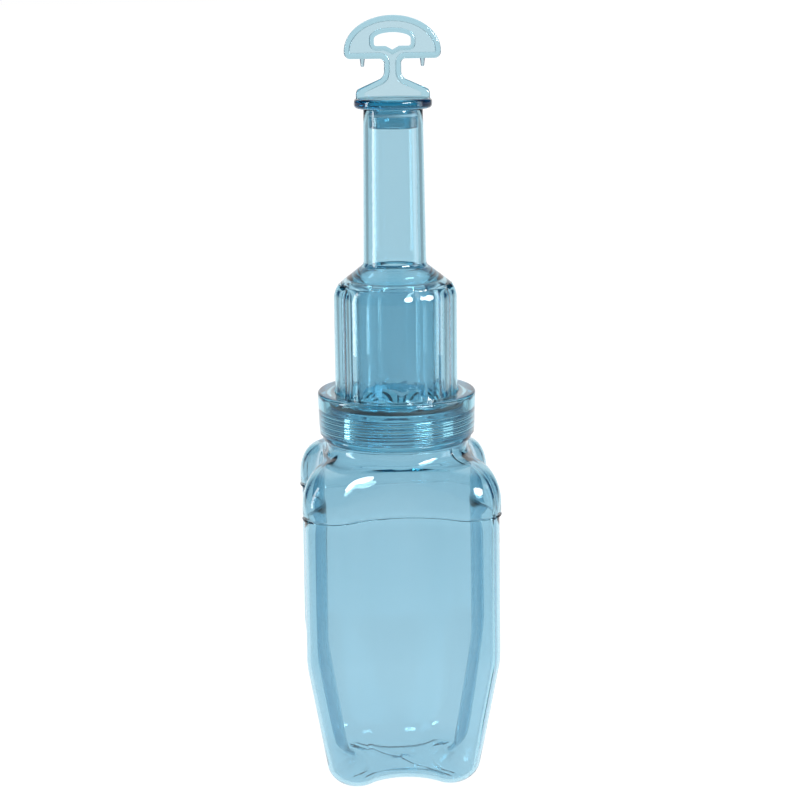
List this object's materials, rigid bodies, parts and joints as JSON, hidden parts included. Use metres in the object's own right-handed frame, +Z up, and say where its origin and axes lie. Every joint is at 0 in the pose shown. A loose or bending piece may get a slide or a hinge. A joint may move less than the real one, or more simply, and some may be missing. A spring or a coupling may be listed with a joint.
{
  "type": "urine bottle",
  "caption": "Upright urine bottle with a lobed body, a neck funnel held by a screw collar, a long spout tube and a pull-out stopper with a finger handle.",
  "frame": {"origin": "middle of the base, on the surface it stands on", "axes": "+Z up along the neck and spout; the flat of the stopper's handle faces -Y"},
  "size_m": [0.0996, 0.0996, 0.3899],
  "materials": {
    "clear_blue": "clear pale blue, polished",
    "gasket": "matt",
    "seal": "satin translucent silicone"
  },
  "bodies": {
    "bottle": {"bottle": "clear_blue"},
    "funnel": {"neck_funnel": "clear_blue", "neck_gasket": "gasket"},
    "collar": {"screw_collar": "clear_blue"},
    "stopper": {"stopper": "clear_blue", "stopper_seal": "seal"}
  },
  "joints": [
    {"name": "neck_lift", "type": "slide", "parent": "bottle", "child": "funnel", "axis": [0, 0, 1], "range_m": [0, 0.0126]},
    {"name": "collar_turn", "type": "hinge", "parent": "funnel", "child": "collar", "pos_m": [0, 0, 0.19], "axis": [0, 0, 1], "range_deg": [0, 1620]},
    {"name": "stopper_pull", "type": "slide", "parent": "funnel", "child": "stopper", "axis": [0, 0, 1], "range_m": [0, 0.03]}
  ],
  "couplings": [
    {"joint": "collar_turn", "follows": "neck_lift", "rad_per_m": 2244}
  ]
}
